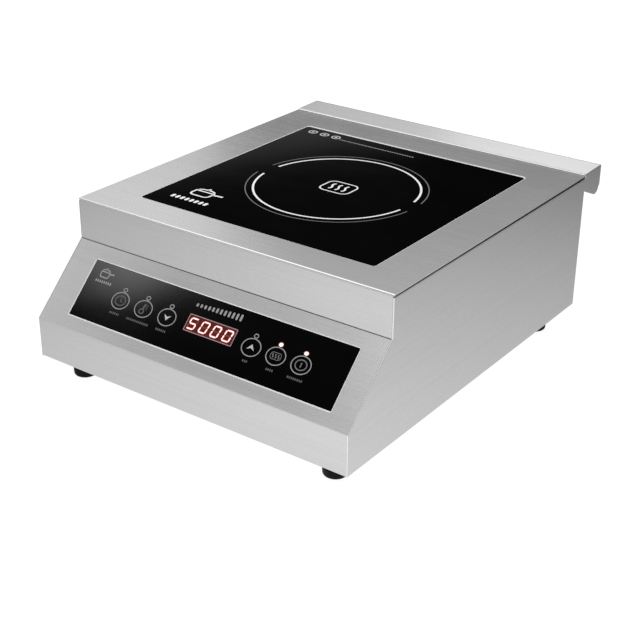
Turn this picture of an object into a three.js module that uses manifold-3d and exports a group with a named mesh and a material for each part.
// Countertop induction hob with a sloping touch panel.
// Units are millimetres, +X is the hob's right, -Y its front, +Z up.
// The origin is on the surface it stands on, under the middle of its box.

import * as THREE from "three";
import { mergeVertices } from "three/addons/utils/BufferGeometryUtils.js";
import Module from "manifold-3d";

const wasm = await Module();
wasm.setup();

// Driving dimensions of the casing.
const WIDTH = 400;
const DEPTH = 500;
const FOOT_HEIGHT = 24;
const CASE_TOP = 183;
const HOOD_RISE = 2;
const SLOPE_RUN = 70;
const SLOPE_FOOT_Z = 69;
const SLOPE_HEAD_Z = 138;
const HOOD_OVERHANG = 40;
const SHEET = 1.5;
const GAP = 0.3;

// Faces that follow from them.
const SIDE_X = WIDTH / 2;
const PANEL_X = SIDE_X - SHEET - GAP;
const FRONT_Y = -DEPTH / 2;
const APRON_Y = FRONT_Y + SLOPE_RUN;
const HOOD_REAR_Y = DEPTH / 2;
const REAR_Y = HOOD_REAR_Y - HOOD_OVERHANG;
const SLOPE_ANGLE = Math.atan2(SLOPE_HEAD_Z - SLOPE_FOOT_Z, SLOPE_RUN);
const FLOOR_TOP = FOOT_HEIGHT + SHEET;

// Cooking surface.
const GLASS_SIDE = 300;
const GLASS_THICKNESS = 4;
const GLASS_RADIUS = 4;
const GLASS_JOINT = 0.6;
const GLASS_Y = 12;
const SEAL_THICKNESS = 1;
const GLASS_TOP = CASE_TOP - GAP;
const GLASS_BOTTOM = GLASS_TOP - GLASS_THICKNESS;

// Control panel, in the slope's own frame: x across, y up the slope, z out of it.
const PANEL_GLASS_WIDTH = 338;
const PANEL_GLASS_HEIGHT = 65.4;
const PANEL_GLASS_X = 4;
const PANEL_GLASS_Y = -50.3;
const PANEL_GLASS_THICKNESS = 3;
const KEY_Y = -51.5;
const LAMP_RISE = 12.3;
const KEYS_LEFT_X = -110.5;
const KEYS_LEFT_PITCH = 32;
const KEYS_RIGHT_X = 62;
const KEYS_RIGHT_PITCH = 30;
const KEYS_PER_SIDE = 3;
const DISPLAY_X = 9;
const DISPLAY_Y = -48.6;

// Feet.
const FOOT_FRONT = { x: 166, y: -220 };
const FOOT_REAR = { x: 172, y: 171 };

// Coil stack, from the glass down.
const COIL_TURNS = 10;
const COIL_INNER_RADIUS = 28;
const COIL_PITCH = 8;
const COIL_WIRE = 6.4;
const COIL_TRAY_RADIUS = 118;
const PAD_THICKNESS = 3;
const PAD_BOTTOM = GLASS_BOTTOM - GAP - PAD_THICKNESS;
const COIL_BOTTOM = PAD_BOTTOM - GAP - COIL_WIRE;
const TRAY_THICKNESS = 5.5;
const TRAY_BOTTOM = COIL_BOTTOM - GAP - TRAY_THICKNESS;
const FERRITE_THICKNESS = 5;
const FERRITE_BOTTOM = TRAY_BOTTOM - GAP - FERRITE_THICKNESS;
const FERRITE_COUNT = 6;
const COIL_PLATE_THICKNESS = 1.5;
const COIL_PLATE_BOTTOM = FERRITE_BOTTOM - GAP - COIL_PLATE_THICKNESS;
const COIL_POST_RADIUS = 125;
const COIL_POST_ANGLES = [30, 150, 270];

// Cooling fans.
const FAN_SIDE = 120;
const FAN_DEPTH = 25;
const FAN_BORE = 57.5;
const FAN_SCREW_REACH = 52.5;
const FAN_X = 75;
const FAN_Y = -60;
const FAN_BLADES = 7;
const ROTOR_RADIUS = 55.5;
const HUB_RADIUS = 19;

// Power electronics.
const BOARD_BOTTOM = 36;
const BOARD_THICKNESS = 1.6;
const BOARD_TOP = BOARD_BOTTOM + BOARD_THICKNESS;
const BOARD_WIDTH = 190;
const BOARD_DEPTH = 180;
const BOARD_Y = 105;
const SINK_X = -55;
const SINK_WIDTH = 70;
const SINK_BASE_Z = 45;
const SINK_BASE = 6;
const SINK_FIN_HEIGHT = 30;
const SINK_FIN_COUNT = 8;
const SINK_FIN = 2;
const SINK_LENGTH = 160;

// Component places on the floor of the case, each the middle of its part.
const IGBT_SIZE = [16, 21];
const IGBT_PLACES_Y = [60, 100];
const RECTIFIER_SIZE = [28, 28];
const RECTIFIER_Y = 145;
const CAPACITOR_X = 40;
const DC_CAPACITOR = { width: 42, depth: 24, height: 38, y: 50 };
const RESONANT_CAPACITOR = { width: 42, depth: 30, height: 42, y: 90 };
const CHOKE_X = 62;
const CHOKE_Y = 140;
const CHOKE_RADIUS = 17;
const CHOKE_TUBE = 8;
const TERMINAL_X = 149;
const TERMINAL_WIDTH = 54;
const TERMINAL_Y = [128, 150];
const TERMINAL_TOP = 50;
const WIRE_ENTRY = 8;
const WIRE_PITCH = 16;
const CABLE_X = [40, 62];
const CABLE_HIGH_Z = 58;
const CABLE_THICKNESS = 1.2;

// Rear wall openings and fittings.
const EXHAUST_SLOTS_PER_SIDE = 12;
const EXHAUST_FIRST_X = 36;
const EXHAUST_Z = [92, 148];
const SLOT_PITCH = 11;
const SLOT_WIDTH = 5;
const GLAND_X = 150;
const GLAND_Z = 55;
const GLAND_HOLE = 10.5;
const EARTH_X = 112;
const EARTH_Z = 48;
const EARTH_HOLE = 3.2;

function finish(color, roughness, metalness) {
  return new THREE.MeshStandardMaterial({ color, roughness, metalness });
}

const materials = {
  brushedSteel: finish(0xb9bab8, 0.38, 1.0),
  zincSteel: finish(0x9a9d9f, 0.5, 1.0),
  blackGlass: finish(0x0a0a0b, 0.08, 0.0),
  controlGlass: finish(0x0b0b0c, 0.12, 0.0),
  silicone: finish(0x2a2a2a, 0.7, 0.0),
  blackRubber: finish(0x111111, 0.8, 0.0),
  blackPlastic: finish(0x1b1b1c, 0.5, 0.0),
  circuitBoard: finish(0x1f5a33, 0.6, 0.0),
  displayPlastic: finish(0x2b0d0d, 0.4, 0.0),
  springSteel: finish(0xc2c4c6, 0.3, 1.0),
  copperLitz: finish(0xa65a2c, 0.5, 0.8),
  fibrePad: finish(0xdedad0, 0.95, 0.0),
  ferrite: finish(0x3a3b3e, 0.7, 0.0),
  aluminium: finish(0xc9cbcd, 0.4, 1.0),
  ceramicSensor: finish(0xe6e2d8, 0.6, 0.0),
  filmCapacitor: finish(0x3b5c93, 0.5, 0.0),
  cableGrey: finish(0x9fa3a8, 0.6, 0.0),
  brass: finish(0xb48a3c, 0.35, 1.0),
};

// A solid that can be joined and cut, from a closed geometry.
function solid(geometry) {
  const plain = geometry.clone();
  plain.deleteAttribute("normal");
  plain.deleteAttribute("uv");
  const merged = mergeVertices(plain, 1e-4);
  const mesh = new wasm.Mesh({
    numProp: 3,
    vertProperties: new Float32Array(merged.attributes.position.array),
    triVerts: new Uint32Array(merged.index.array),
  });
  return new wasm.Manifold(mesh);
}

// The surface of a solid, as a geometry.
function geometryOf(manifold) {
  const mesh = manifold.getMesh();
  const geometry = new THREE.BufferGeometry();
  geometry.setAttribute("position", new THREE.BufferAttribute(mesh.vertProperties, 3));
  geometry.setIndex(new THREE.BufferAttribute(mesh.triVerts, 1));
  geometry.computeVertexNormals();
  return geometry;
}

function join(solids) {
  return solids.reduce((whole, next) => whole.add(next));
}

function cut(body, tools) {
  return tools.reduce((rest, tool) => rest.subtract(tool), body);
}

// A box given by its limits along each axis.
function block([x0, x1], [y0, y1], [z0, z1]) {
  const geometry = new THREE.BoxGeometry(x1 - x0, y1 - y0, z1 - z0);
  geometry.translate((x0 + x1) / 2, (y0 + y1) / 2, (z0 + z1) / 2);
  return geometry;
}

// A round bar along Z.
function bar(radius, [z0, z1], x = 0, y = 0, segments = 24) {
  const geometry = new THREE.CylinderGeometry(radius, radius, z1 - z0, segments);
  geometry.rotateX(Math.PI / 2);
  geometry.translate(x, y, (z0 + z1) / 2);
  return geometry;
}

// A solid of revolution about Z, from [radius, height] points.
function turned(points, segments = 32) {
  const profile = points.map(([radius, height]) => new THREE.Vector2(radius, height));
  const geometry = new THREE.LatheGeometry(profile, segments);
  geometry.rotateX(Math.PI / 2);
  return geometry;
}

// A flat outline of [x, y] points, raised from z0 to z1.
function raised(shape, [z0, z1], curveSegments = 6) {
  const options = { depth: z1 - z0, bevelEnabled: false, curveSegments };
  const geometry = new THREE.ExtrudeGeometry(shape, options);
  geometry.translate(0, 0, z0);
  return geometry;
}

// A side outline of [y, z] points, extruded across the hob from x0 to x1.
function across(shape, [x0, x1], curveSegments = 6) {
  const geometry = raised(shape, [x0, x1], curveSegments);
  geometry.applyMatrix4(new THREE.Matrix4().set(0, 0, 1, 0, 1, 0, 0, 0, 0, 1, 0, 0, 0, 0, 0, 1));
  return geometry;
}

function outline(points) {
  return new THREE.Shape(points.map(([a, b]) => new THREE.Vector2(a, b)));
}

function roundedRectangle(width, height, radius, x = 0, y = 0) {
  const right = x + width / 2;
  const left = x - width / 2;
  const top = y + height / 2;
  const bottom = y - height / 2;
  const shape = new THREE.Shape();
  shape.moveTo(left + radius, bottom);
  shape.lineTo(right - radius, bottom);
  shape.absarc(right - radius, bottom + radius, radius, -Math.PI / 2, 0, false);
  shape.lineTo(right, top - radius);
  shape.absarc(right - radius, top - radius, radius, 0, Math.PI / 2, false);
  shape.lineTo(left + radius, top);
  shape.absarc(left + radius, top - radius, radius, Math.PI / 2, Math.PI, false);
  shape.lineTo(left, bottom + radius);
  shape.absarc(left + radius, bottom + radius, radius, Math.PI, 1.5 * Math.PI, false);
  return shape;
}

// A square ring lying flat, between two half-widths.
function squareRing(outer, inner, [z0, z1], y = 0) {
  const body = solid(block([-outer, outer], [y - outer, y + outer], [z0, z1]));
  const hole = solid(block([-inner, inner], [y - inner, y + inner], [z0 - 1, z1 + 1]));
  return body.subtract(hole);
}

const hob = new THREE.Group();

function add(parent, name, shape, material) {
  const geometry = shape instanceof THREE.BufferGeometry ? shape : geometryOf(shape);
  const mesh = new THREE.Mesh(geometry, material);
  mesh.name = name;
  parent.add(mesh);
  return mesh;
}

// ---- Casing ----

// Side sheets follow the stepped front and carry an ear under the rear hood.
function sidePanel(x0, x1) {
  const seamFrontZ = CASE_TOP - SHEET - 1.4;
  const seamRearZ = CASE_TOP - SHEET - 2.9;
  const earTop = CASE_TOP - GAP;
  const earRearY = HOOD_REAR_Y - SHEET - GAP;
  const earRootZ = CASE_TOP - 19.3;
  const earTipZ = CASE_TOP - 31.2;
  const earRadius = 9;
  const shape = new THREE.Shape();
  shape.moveTo(FRONT_Y, FOOT_HEIGHT);
  shape.lineTo(REAR_Y, FOOT_HEIGHT);
  shape.lineTo(REAR_Y, earRootZ);
  shape.lineTo(earRearY - earRadius, earTipZ);
  shape.quadraticCurveTo(earRearY, earTipZ, earRearY, earTipZ + earRadius);
  shape.lineTo(earRearY, earTop);
  shape.lineTo(REAR_Y + GAP, earTop);
  shape.lineTo(REAR_Y + GAP, seamRearZ);
  shape.lineTo(APRON_Y, seamFrontZ);
  shape.lineTo(APRON_Y, SLOPE_HEAD_Z);
  shape.lineTo(FRONT_Y, SLOPE_FOOT_Z);
  return across(shape, [x0, x1]);
}

// The top plate, its folded front apron and two tucked-in side returns.
function topCover() {
  const plateX = SIDE_X - GAP;
  const returnDepth = 14;
  const plate = block([-plateX, plateX], [APRON_Y, REAR_Y - GAP], [CASE_TOP - SHEET, CASE_TOP]);
  const apronZ = [SLOPE_HEAD_Z + GAP, CASE_TOP];
  const apron = block([-PANEL_X, PANEL_X], [APRON_Y, APRON_Y + SHEET], apronZ);
  const returnX = PANEL_X - GAP;
  const returnZ = [CASE_TOP - returnDepth, CASE_TOP - SHEET / 2];
  const returnY = [APRON_Y + SHEET / 2, REAR_Y - 6];
  const left = block([-returnX, -returnX + SHEET], returnY, returnZ);
  const right = block([returnX - SHEET, returnX], returnY, returnZ);
  const side = GLASS_SIDE + 2 * GLASS_JOINT;
  const window = roundedRectangle(side, side, GLASS_RADIUS, 0, GLASS_Y);
  const tool = raised(window, [CASE_TOP - 10, CASE_TOP + 10]);
  return cut(join([plate, apron, left, right].map(solid)), [solid(tool)]);
}

// The raised strip behind the cooking surface, with a flange over the exhaust.
function rearHood() {
  const lap = 2;
  const flangeDrop = 23;
  const frontY = REAR_Y - lap;
  const top = CASE_TOP + HOOD_RISE;
  const underside = CASE_TOP + GAP;
  const flangeZ = CASE_TOP - flangeDrop;
  const plateX = SIDE_X - GAP;
  const strip = block([-plateX, plateX], [frontY, HOOD_REAR_Y], [underside, top]);
  const flangeY = [HOOD_REAR_Y - SHEET, HOOD_REAR_Y];
  const flange = block([-plateX, plateX], flangeY, [flangeZ, top - SHEET / 2]);
  return join([strip, flange].map(solid));
}

// One bent sheet: the upright lower front and the slope with its window.
function frontPanel() {
  const nx = Math.sin(SLOPE_ANGLE) * SHEET;
  const nz = Math.cos(SLOPE_ANGLE) * SHEET;
  const kneeZ = SLOPE_FOOT_Z - SHEET * Math.tan((Math.PI / 2 - SLOPE_ANGLE) / 2);
  const sheet = outline([
    [FRONT_Y, FOOT_HEIGHT],
    [FRONT_Y + SHEET, FOOT_HEIGHT],
    [FRONT_Y + SHEET, kneeZ],
    [APRON_Y + nx, SLOPE_HEAD_Z - nz - GAP],
    [APRON_Y, SLOPE_HEAD_Z - GAP],
    [FRONT_Y, SLOPE_FOOT_Z],
  ]);
  const window = slopePlaced(panelBlock(GAP, [-10, 10]));
  return solid(across(sheet, [-PANEL_X, PANEL_X])).subtract(solid(window));
}

// The rear wall, with exhaust slots and holes for the gland and earth stud.
function rearPanel() {
  const y = [REAR_Y - SHEET, REAR_Y];
  const sheet = block([-PANEL_X, PANEL_X], y, [FLOOR_TOP + GAP, CASE_TOP - SHEET - GAP]);
  const tools = [];
  for (const side of [-1, 1]) {
    for (let i = 0; i < EXHAUST_SLOTS_PER_SIDE; i += 1) {
      const x = side * (EXHAUST_FIRST_X + SLOT_PITCH * i);
      const slotX = [x - SLOT_WIDTH / 2, x + SLOT_WIDTH / 2];
      tools.push(block(slotX, [REAR_Y - 10, REAR_Y + 10], EXHAUST_Z));
    }
  }
  tools.push(rearHole(GLAND_HOLE, GLAND_X, GLAND_Z));
  tools.push(rearHole(EARTH_HOLE, EARTH_X, EARTH_Z));
  return cut(solid(sheet), tools.map(solid));
}

function rearHole(radius, x, z) {
  const geometry = bar(radius, [-10, 10]);
  geometry.rotateX(Math.PI / 2);
  geometry.translate(x, REAR_Y, z);
  return geometry;
}

// The floor, with side flanges, board pillars, air intakes and foot holes.
function basePlate() {
  const y = [FRONT_Y + SHEET + GAP, REAR_Y - SHEET - GAP];
  const plate = block([-PANEL_X, PANEL_X], y, [FOOT_HEIGHT, FLOOR_TOP]);
  const flangeX = PANEL_X - SHEET;
  const flangeHeight = 12;
  const flangeZ = [FOOT_HEIGHT + SHEET / 2, FOOT_HEIGHT + flangeHeight];
  const pillarInset = 6;
  const pillarRadius = 4;
  const footHole = 2.6;
  const grilleMargin = 4;
  const parts = [
    plate,
    block([-PANEL_X, -flangeX], y, flangeZ),
    block([flangeX, PANEL_X], y, flangeZ),
  ];
  for (const x of [-1, 1]) {
    for (const end of [-1, 1]) {
      const pillarX = x * (BOARD_WIDTH / 2 - pillarInset);
      const pillarY = BOARD_Y + end * (BOARD_DEPTH / 2 - pillarInset);
      parts.push(bar(pillarRadius, [FOOT_HEIGHT + 1, BOARD_BOTTOM - GAP], pillarX, pillarY, 12));
    }
  }
  const tools = [];
  const through = [FOOT_HEIGHT - 5, FLOOR_TOP + 5];
  for (const side of [-1, 1]) {
    for (let i = -4; i <= 4; i += 1) {
      const x = side * FAN_X + SLOT_PITCH * i;
      const slotX = [x - SLOT_WIDTH / 2, x + SLOT_WIDTH / 2];
      const reach = Math.sqrt(FAN_BORE ** 2 - (SLOT_PITCH * i) ** 2) - grilleMargin;
      tools.push(block(slotX, [FAN_Y - reach, FAN_Y + reach], through));
    }
    for (const { x, y } of [FOOT_FRONT, FOOT_REAR]) {
      tools.push(bar(footHole, through, side * x, y, 12));
    }
  }
  return cut(join(parts.map(solid)), tools.map(solid));
}

// ---- Cooking surface and coil ----

function glassPlate() {
  const square = roundedRectangle(GLASS_SIDE, GLASS_SIDE, GLASS_RADIUS, 0, GLASS_Y);
  return raised(square, [GLASS_BOTTOM, GLASS_TOP]);
}

function glassSeal() {
  const z = [GLASS_BOTTOM - SEAL_THICKNESS - GAP, GLASS_BOTTOM - GAP];
  return squareRing(GLASS_SIDE / 2 + 7, GLASS_SIDE / 2 - 8, z, GLASS_Y);
}

// A bent ring under the top plate that carries the glass on its seal.
function glassSupport() {
  const seatZ = GLASS_BOTTOM - SEAL_THICKNESS - 2 * GAP;
  const outer = GLASS_SIDE / 2 + 9;
  const seat = squareRing(outer, GLASS_SIDE / 2 - 9, [seatZ - SHEET, seatZ], GLASS_Y);
  const wall = squareRing(outer, outer - SHEET, [seatZ - SHEET, CASE_TOP - SHEET - GAP], GLASS_Y);
  return seat.add(wall);
}

function insulationPad() {
  const z = [PAD_BOTTOM, PAD_BOTTOM + PAD_THICKNESS];
  const disc = bar(COIL_TRAY_RADIUS, z, 0, GLASS_Y, 48);
  const hole = bar(9, [z[0] - 1, z[1] + 1], 0, GLASS_Y);
  return solid(disc).subtract(solid(hole));
}

// The flat spiral of litz wire, as one wire wound outwards.
function coilWinding() {
  const stepsPerTurn = 20;
  const points = [];
  for (let i = 0; i <= COIL_TURNS * stepsPerTurn; i += 1) {
    const turns = i / stepsPerTurn;
    const angle = turns * 2 * Math.PI;
    const radius = COIL_INNER_RADIUS + COIL_WIRE / 2 + COIL_PITCH * turns;
    points.push(new THREE.Vector3(radius * Math.cos(angle), radius * Math.sin(angle), 0));
  }
  const path = new THREE.CatmullRomCurve3(points);
  const section = new THREE.Shape();
  section.absarc(0, 0, COIL_WIRE / 2, 0, 2 * Math.PI, false);
  const geometry = new THREE.ExtrudeGeometry(section, {
    steps: COIL_TURNS * stepsPerTurn,
    extrudePath: path,
    curveSegments: 3,
    bevelEnabled: false,
  });
  geometry.translate(0, GLASS_Y, COIL_BOTTOM + COIL_WIRE / 2);
  return solid(geometry);
}

function coilTray() {
  const z = [TRAY_BOTTOM, TRAY_BOTTOM + TRAY_THICKNESS];
  const disc = bar(COIL_TRAY_RADIUS, z, 0, GLASS_Y, 48);
  const hole = bar(7, [z[0] - 1, z[1] + 1], 0, GLASS_Y);
  return solid(disc).subtract(solid(hole));
}

function ferriteBar(index) {
  const angle = ((index + 0.5) / FERRITE_COUNT) * 2 * Math.PI;
  const z = [FERRITE_BOTTOM, FERRITE_BOTTOM + FERRITE_THICKNESS];
  const geometry = block([38, 102], [-7, 7], z);
  geometry.rotateZ(angle);
  geometry.translate(0, GLASS_Y, 0);
  return geometry;
}

function postPlace(degrees) {
  const angle = THREE.MathUtils.degToRad(degrees);
  return [COIL_POST_RADIUS * Math.cos(angle), GLASS_Y + COIL_POST_RADIUS * Math.sin(angle)];
}

// The aluminium carrier plate, with an ear over each post.
function coilPlate() {
  const z = [COIL_PLATE_BOTTOM, COIL_PLATE_BOTTOM + COIL_PLATE_THICKNESS];
  const parts = [bar(COIL_TRAY_RADIUS, z, 0, GLASS_Y, 48)];
  for (const degrees of COIL_POST_ANGLES) {
    const [x, y] = postPlace(degrees);
    parts.push(bar(10, z, x, y));
  }
  const hole = bar(7, [z[0] - 1, z[1] + 1], 0, GLASS_Y);
  return cut(join(parts.map(solid)), [solid(hole)]);
}

function coilPost(degrees) {
  const [x, y] = postPlace(degrees);
  const foot = bar(7, [FLOOR_TOP + GAP, FLOOR_TOP + 3], x, y, 16);
  const stem = bar(4, [FLOOR_TOP + 2, COIL_PLATE_BOTTOM - GAP], x, y, 16);
  return solid(foot).add(solid(stem));
}

// The temperature probe, held up against the glass in the coil's eye.
function temperatureSensor() {
  const headZ = GLASS_BOTTOM - GAP;
  const geometry = turned([
    [0, COIL_PLATE_BOTTOM - 12],
    [4, COIL_PLATE_BOTTOM - 12],
    [4, PAD_BOTTOM - 3],
    [8, PAD_BOTTOM - 3],
    [8, headZ],
    [0, headZ],
  ], 20);
  geometry.translate(0, GLASS_Y, 0);
  return geometry;
}

// ---- Control panel, in the slope's frame ----

function slopePlaced(geometry) {
  geometry.rotateX(SLOPE_ANGLE);
  geometry.translate(0, APRON_Y, SLOPE_HEAD_Z);
  return geometry;
}

// A block the size of the control glass, grown by a margin on each side.
function panelBlock(margin, z) {
  const halfWidth = PANEL_GLASS_WIDTH / 2 + margin;
  const halfHeight = PANEL_GLASS_HEIGHT / 2 + margin;
  const x = [PANEL_GLASS_X - halfWidth, PANEL_GLASS_X + halfWidth];
  const y = [PANEL_GLASS_Y - halfHeight, PANEL_GLASS_Y + halfHeight];
  return block(x, y, z);
}

function panelRing(outer, inner, z) {
  return solid(panelBlock(outer, z)).subtract(solid(panelBlock(inner, [z[0] - 1, z[1] + 1])));
}

const PANEL_GLASS_Z = [-PANEL_GLASS_THICKNESS - GAP, -GAP];
const GASKET_Z = [PANEL_GLASS_Z[0] - GAP - SEAL_THICKNESS, PANEL_GLASS_Z[0] - GAP];
const FRAME_Z = [-20, GASKET_Z[0] - GAP];
const CONTROL_BOARD_Z = [-14.6, -13];
const KEY_STACK_Z = [CONTROL_BOARD_Z[1] + GAP, PANEL_GLASS_Z[0] - GAP];

function controlFrame() {
  const wall = panelRing(2.5, 0, FRAME_Z);
  const ledge = panelRing(1, -7, [FRAME_Z[1] - 2, FRAME_Z[1]]);
  return wall.add(ledge);
}

function keyPlaces() {
  const places = [];
  for (let i = 0; i < KEYS_PER_SIDE; i += 1) {
    places.push(KEYS_LEFT_X + KEYS_LEFT_PITCH * i);
  }
  for (let i = 0; i < KEYS_PER_SIDE; i += 1) {
    places.push(KEYS_RIGHT_X + KEYS_RIGHT_PITCH * i);
  }
  return places;
}

// The key and display board, with one indicator lamp above each key.
function controlBoard() {
  const parts = [panelBlock(-4, CONTROL_BOARD_Z)];
  const lampY = KEY_Y + LAMP_RISE;
  for (const x of keyPlaces()) {
    const lampX = [x - 1.5, x + 1.5];
    parts.push(block(lampX, [lampY - 1.5, lampY + 1.5], [CONTROL_BOARD_Z[0] + 0.5, KEY_STACK_Z[1]]));
  }
  return join(parts.map(solid));
}

function displayModule() {
  return block([DISPLAY_X - 31, DISPLAY_X + 31], [DISPLAY_Y - 9.5, DISPLAY_Y + 9.5], KEY_STACK_Z);
}

// A springy sleeve that carries the touch signal from the glass to the board.
function touchSpring(x) {
  const [low, high] = KEY_STACK_Z;
  const waves = 3;
  const rise = (high - low) / waves;
  const points = [[2, high], [2, low]];
  for (let i = 0; i < waves; i += 1) {
    points.push([4, low + rise * i]);
    points.push([5.5, low + rise * (i + 0.5)]);
  }
  points.push([4, high], [2, high]);
  const geometry = turned(points, 12);
  geometry.translate(x, KEY_Y, 0);
  return geometry;
}

// ---- Power electronics ----

function powerBoard() {
  const y = [BOARD_Y - BOARD_DEPTH / 2, BOARD_Y + BOARD_DEPTH / 2];
  return block([-BOARD_WIDTH / 2, BOARD_WIDTH / 2], y, [BOARD_BOTTOM, BOARD_TOP]);
}

function heatSink() {
  const left = SINK_X - SINK_WIDTH / 2;
  const top = SINK_BASE_Z + SINK_BASE;
  const y = [BOARD_Y - SINK_LENGTH / 2, BOARD_Y + SINK_LENGTH / 2];
  const parts = [block([left, left + SINK_WIDTH], y, [SINK_BASE_Z, top])];
  const pitch = (SINK_WIDTH - SINK_FIN) / (SINK_FIN_COUNT - 1);
  for (let i = 0; i < SINK_FIN_COUNT; i += 1) {
    const x = left + pitch * i;
    parts.push(block([x, x + SINK_FIN], y, [top - 1, top + SINK_FIN_HEIGHT]));
  }
  return join(parts.map(solid));
}

// A flat power device lying between the board and the heat sink.
function powerDevice(width, depth, y) {
  const x = [SINK_X - width / 2, SINK_X + width / 2];
  return block(x, [y - depth / 2, y + depth / 2], [BOARD_TOP + GAP, SINK_BASE_Z - GAP]);
}

function boxCapacitor({ width, depth, height, y }) {
  const x = [CAPACITOR_X - width / 2, CAPACITOR_X + width / 2];
  const z = [BOARD_TOP + GAP, BOARD_TOP + GAP + height];
  return block(x, [y - depth / 2, y + depth / 2], z);
}

function choke() {
  const geometry = new THREE.TorusGeometry(CHOKE_RADIUS, CHOKE_TUBE, 8, 20);
  geometry.translate(CHOKE_X, CHOKE_Y, BOARD_TOP + GAP + CHOKE_TUBE);
  return geometry;
}

// The mains terminal block, with three wire entries facing the gland.
function terminalBlock() {
  const x = [TERMINAL_X - TERMINAL_WIDTH / 2, TERMINAL_X + TERMINAL_WIDTH / 2];
  const body = block(x, TERMINAL_Y, [FLOOR_TOP + GAP, TERMINAL_TOP]);
  const entryY = [TERMINAL_Y[0] + 10, TERMINAL_Y[1] + 8];
  const entryZ = [TERMINAL_TOP - 2 * WIRE_ENTRY, TERMINAL_TOP - WIRE_ENTRY];
  const entries = [-1, 0, 1].map((i) => {
    const left = TERMINAL_X - WIRE_ENTRY / 2 + WIRE_PITCH * i;
    return block([left, left + WIRE_ENTRY], entryY, entryZ);
  });
  return cut(solid(body), entries.map(solid));
}

// The flat cable from the control board, over the fans, to the power board.
function controlCable() {
  const centre = [
    [-199, 86],
    [-180, 70],
    [-140, CABLE_HIGH_Z],
    [12, CABLE_HIGH_Z],
    [20, 50],
    [20, BOARD_TOP + GAP],
  ];
  const upper = centre.map(([y, z]) => [y + CABLE_THICKNESS, z + CABLE_THICKNESS]);
  return across(outline([...centre, ...upper.reverse()]), CABLE_X);
}

// ---- Fans, each in a frame whose middle is the group's origin ----

function fanFrame() {
  const half = FAN_SIDE / 2;
  const body = solid(block([-half, half], [-half, half], [0, FAN_DEPTH]));
  const bore = solid(bar(FAN_BORE, [-1, FAN_DEPTH + 1], 0, 0, 48));
  const strut = solid(block([-FAN_BORE - 1, FAN_BORE + 1], [-2, 2], [0, 3]));
  const crossStrut = solid(block([-2, 2], [-FAN_BORE - 1, FAN_BORE + 1], [0, 3]));
  const seat = solid(bar(HUB_RADIUS, [0, 7], 0, 0, 32));
  const holes = [];
  for (const x of [-FAN_SCREW_REACH, FAN_SCREW_REACH]) {
    for (const y of [-FAN_SCREW_REACH, FAN_SCREW_REACH]) {
      holes.push(bar(2.2, [-1, FAN_DEPTH + 1], x, y, 10));
    }
  }
  return cut(join([body.subtract(bore), strut, crossStrut, seat]), holes.map(solid));
}

function fanRotor() {
  const hub = solid(bar(HUB_RADIUS, [7.6, FAN_DEPTH - 1], 0, 0, 32));
  const bladeLength = ROTOR_RADIUS - HUB_RADIUS + 2;
  const blades = [];
  for (let i = 0; i < FAN_BLADES; i += 1) {
    const blade = new THREE.BoxGeometry(bladeLength, 18, 1.6);
    blade.rotateX(THREE.MathUtils.degToRad(38));
    blade.translate(HUB_RADIUS - 2 + bladeLength / 2, 0, 15.2);
    blade.rotateZ((i / FAN_BLADES) * 2 * Math.PI);
    blades.push(solid(blade));
  }
  const swept = join([hub, ...blades]);
  return swept.intersect(solid(bar(ROTOR_RADIUS, [4, FAN_DEPTH - 1], 0, 0, 48)));
}

// ---- Rear fittings and feet ----

// Turned shapes for the rear wall are drawn about Z and laid along Y.
function onRearWall(geometry, x, z) {
  geometry.rotateX(-Math.PI / 2);
  geometry.translate(x, REAR_Y, z);
  return geometry;
}

function cableGland() {
  const geometry = turned([
    [5, -12],
    [10, -12],
    [10, GAP],
    [14, GAP],
    [14, 7],
    [11.5, 9],
    [11.5, 16],
    [9, 20],
    [5, 20],
    [5, -12],
  ], 24);
  return onRearWall(geometry, GLAND_X, GLAND_Z);
}

function glandNut() {
  const inside = -SHEET - GAP;
  const hex = bar(15.5, [inside - 5, inside], 0, 0, 6);
  const bore = bar(10.4, [inside - 6, inside + 1], 0, 0, 24);
  const nut = solid(onRearWall(hex, GLAND_X, GLAND_Z));
  return nut.subtract(solid(onRearWall(bore, GLAND_X, GLAND_Z)));
}

function earthStud() {
  const geometry = turned([
    [0, -8],
    [2.9, -8],
    [2.9, GAP],
    [5.5, GAP],
    [5.5, 4],
    [2.5, 4],
    [2.5, 12],
    [0, 12],
  ], 12);
  return onRearWall(geometry, EARTH_X, EARTH_Z);
}

// A flared rubber foot, counterbored from below for its screw.
function foot() {
  const top = FOOT_HEIGHT - GAP;
  return turned([
    [5, 0],
    [10, 0],
    [12.2, 1.2],
    [12.8, 3.6],
    [13.1, 10],
    [14.5, 16],
    [14.5, top],
    [2.6, top],
    [2.6, 12],
    [5, 12],
    [5, 0],
  ], 24);
}

function footScrew() {
  return turned([
    [0, 8.5],
    [3.2, 8.5],
    [4.4, 9.7],
    [4.4, 11.7],
    [2.2, 11.7],
    [2.2, 31],
    [0, 31],
  ], 16);
}

// ---- Assembly ----

function addCasing() {
  const steel = materials.brushedSteel;
  add(hob, "top_cover", topCover(), steel);
  add(hob, "rear_hood", rearHood(), steel);
  add(hob, "front_panel", frontPanel(), steel);
  add(hob, "side_panel_left", sidePanel(-SIDE_X, -SIDE_X + SHEET), steel);
  add(hob, "side_panel_right", sidePanel(SIDE_X - SHEET, SIDE_X), steel);
  add(hob, "rear_panel", rearPanel(), steel);
  add(hob, "base_plate", basePlate(), materials.zincSteel);
  add(hob, "cable_gland", cableGland(), materials.blackPlastic);
  add(hob, "gland_nut", glandNut(), materials.blackPlastic);
  add(hob, "earth_stud", earthStud(), materials.brass);
}

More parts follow.
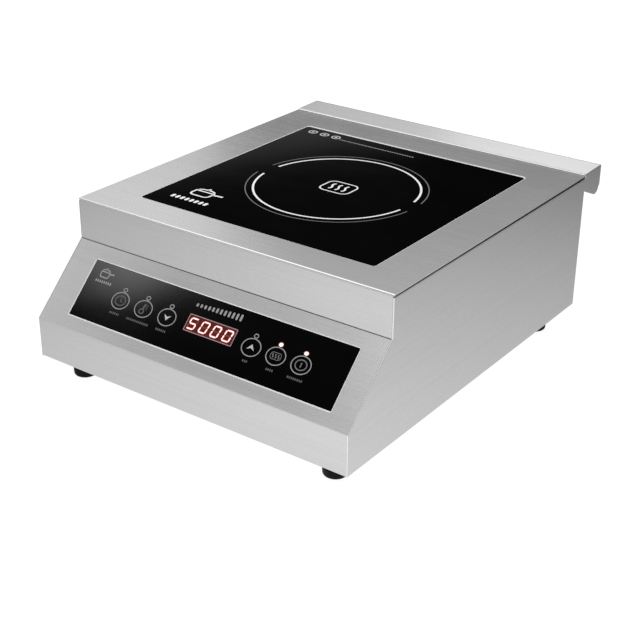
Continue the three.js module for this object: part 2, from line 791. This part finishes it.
function addFeet() {
  const places = {
    front_left: [-FOOT_FRONT.x, FOOT_FRONT.y],
    front_right: [FOOT_FRONT.x, FOOT_FRONT.y],
    rear_left: [-FOOT_REAR.x, FOOT_REAR.y],
    rear_right: [FOOT_REAR.x, FOOT_REAR.y],
  };
  for (const [place, [x, y]] of Object.entries(places)) {
    const corner = new THREE.Group();
    corner.position.set(x, y, 0);
    add(corner, `foot_${place}`, foot(), materials.blackRubber);
    add(corner, `foot_screw_${place}`, footScrew(), materials.springSteel);
    hob.add(corner);
  }
}

function addCookingSurface() {
  add(hob, "glass_plate", glassPlate(), materials.blackGlass);
  add(hob, "glass_seal", glassSeal(), materials.silicone);
  add(hob, "glass_support_frame", glassSupport(), materials.zincSteel);
  add(hob, "insulation_pad", insulationPad(), materials.fibrePad);
  add(hob, "coil_winding", coilWinding(), materials.copperLitz);
  add(hob, "coil_tray", coilTray(), materials.blackPlastic);
  for (let i = 0; i < FERRITE_COUNT; i += 1) {
    add(hob, `ferrite_bar_${i + 1}`, ferriteBar(i), materials.ferrite);
  }
  add(hob, "coil_plate", coilPlate(), materials.aluminium);
  COIL_POST_ANGLES.forEach((degrees, i) => {
    add(hob, `coil_post_${i + 1}`, coilPost(degrees), materials.aluminium);
  });
  add(hob, "temperature_sensor", temperatureSensor(), materials.ceramicSensor);
}

function addControls() {
  const slope = new THREE.Group();
  slope.position.set(0, APRON_Y, SLOPE_HEAD_Z);
  slope.rotation.x = SLOPE_ANGLE;
  add(slope, "control_glass", panelBlock(0, PANEL_GLASS_Z), materials.controlGlass);
  add(slope, "control_gasket", panelRing(-0.5, -8, GASKET_Z), materials.silicone);
  add(slope, "control_frame", controlFrame(), materials.blackPlastic);
  add(slope, "control_board", controlBoard(), materials.circuitBoard);
  add(slope, "display_module", displayModule(), materials.displayPlastic);
  keyPlaces().forEach((x, i) => {
    add(slope, `touch_spring_${i + 1}`, touchSpring(x), materials.springSteel);
  });
  hob.add(slope);
}

function addElectronics() {
  add(hob, "power_board", powerBoard(), materials.circuitBoard);
  add(hob, "heat_sink", heatSink(), materials.aluminium);
  IGBT_PLACES_Y.forEach((y, i) => {
    add(hob, `igbt_${i + 1}`, powerDevice(...IGBT_SIZE, y), materials.blackPlastic);
  });
  const rectifier = powerDevice(...RECTIFIER_SIZE, RECTIFIER_Y);
  add(hob, "bridge_rectifier", rectifier, materials.blackPlastic);
  add(hob, "dc_capacitor", boxCapacitor(DC_CAPACITOR), materials.filmCapacitor);
  add(hob, "resonant_capacitor", boxCapacitor(RESONANT_CAPACITOR), materials.filmCapacitor);
  add(hob, "choke", choke(), materials.copperLitz);
  add(hob, "terminal_block", terminalBlock(), materials.blackPlastic);
  add(hob, "control_cable", controlCable(), materials.cableGrey);
}

function addFans() {
  [-FAN_X, FAN_X].forEach((x, i) => {
    const fan = new THREE.Group();
    fan.position.set(x, FAN_Y, FLOOR_TOP + GAP);
    add(fan, `fan_frame_${i + 1}`, fanFrame(), materials.blackPlastic);
    add(fan, `fan_rotor_${i + 1}`, fanRotor(), materials.blackPlastic);
    hob.add(fan);
  });
}

addCasing();
addFeet();
addCookingSurface();
addControls();
addElectronics();
addFans();

export default hob;
